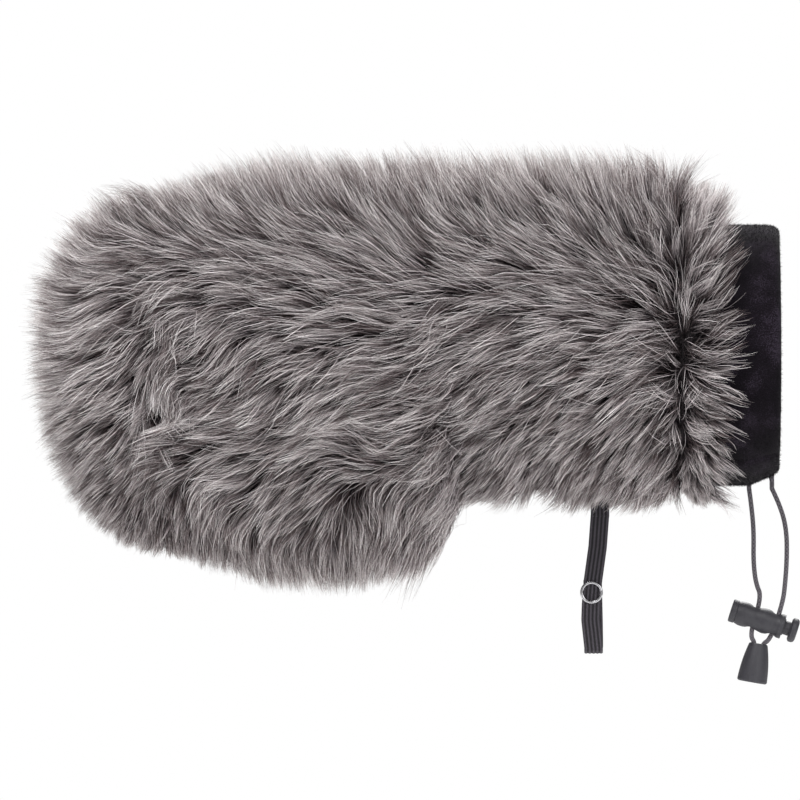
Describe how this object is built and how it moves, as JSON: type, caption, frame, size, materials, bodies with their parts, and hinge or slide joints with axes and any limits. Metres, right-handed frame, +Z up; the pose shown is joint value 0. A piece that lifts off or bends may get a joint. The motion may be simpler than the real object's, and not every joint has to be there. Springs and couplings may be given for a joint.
{
  "type": "furry microphone windscreen",
  "caption": "Long-pile fur cover for a microphone in its basket, with a velour collar, a drawcord with a sprung cord lock and a snap strap.",
  "frame": {"origin": "on the collar's axis, in the middle of its hem", "axes": "+X along the collar's bore and out of its mouth, with the nose at -X; +Z up, with the belly, strap and drawcord at -Z"},
  "size_m": [0.3236, 0.1604, 0.2241],
  "materials": {
    "fur": "long acrylic pile",
    "knit": "knitted backing",
    "tape": "woven tape",
    "velour": "short pile velour",
    "thread": "polyester thread",
    "cord": "braided elastic cord",
    "elastic": "ribbed flat elastic",
    "black_plastic": "moulded, fine texture",
    "spring_steel": "drawn wire",
    "nickel": "nickel plated"
  },
  "bodies": {
    "cover": {"nose_fur": "fur", "left_fur": "fur", "right_fur": "fur", "ruff_fur": "fur", "nose_backing": "knit", "left_backing": "knit", "right_backing": "knit", "ruff_backing": "knit", "nose_seam_tape": "tape", "spine_seam_tape": "tape", "belly_seam_tape": "tape", "ruff_seam_tape": "tape", "grip_slot_binding": "tape", "collar_seam_tape": "tape", "collar_shell": "velour", "collar_lap": "velour", "hem_stitching": "thread", "drawcord_in_hem": "cord", "strap_root": "elastic", "strap_tack": "thread"},
    "drawcord": {"drawcord_strand_inner": "cord", "drawcord_strand_mouth": "cord", "drawcord_tail_inner": "cord", "drawcord_tail_mouth": "cord", "cord_knot": "cord", "bell_shell": "black_plastic", "bell_insert": "black_plastic"},
    "lock": {"lock_barrel": "black_plastic", "lock_spring": "spring_steel"},
    "plunger": {"lock_plunger": "black_plastic"},
    "strap": {"strap_band": "elastic", "snap_ring_front": "nickel", "snap_socket": "nickel"},
    "flap": {"strap_flap": "elastic", "snap_stud": "nickel", "snap_ring_back": "nickel"}
  },
  "joints": [
    {"name": "drawcord_swing", "type": "hinge", "parent": "cover", "child": "drawcord", "pos_m": [0.0006, 0, -0.0561], "axis": [1, 0, 0], "range_deg": [-65, 65]},
    {"name": "lock_slide", "type": "slide", "parent": "drawcord", "child": "lock", "axis": [0, 0, 1], "range_m": [0, 0.038], "deforming": ["drawcord_strand_inner", "drawcord_strand_mouth", "drawcord_tail_inner", "drawcord_tail_mouth"]},
    {"name": "plunger_press", "type": "slide", "parent": "lock", "child": "plunger", "axis": [-0.9511, 0, 0.309], "range_m": [0, 0.0019], "stiffness_N_per_m": 800, "springref_m": -0.003, "deforming": ["lock_spring"]},
    {"name": "strap_swing", "type": "hinge", "parent": "cover", "child": "strap", "pos_m": [-0.0668, 0, -0.0676], "axis": [1, 0, 0], "range_deg": [-70, 70]},
    {"name": "strap_flap_open", "type": "hinge", "parent": "strap", "child": "flap", "pos_m": [-0.07035, 0.0017, -0.1232], "axis": [-1, 0, 0], "range_deg": [0, 140]}
  ]
}
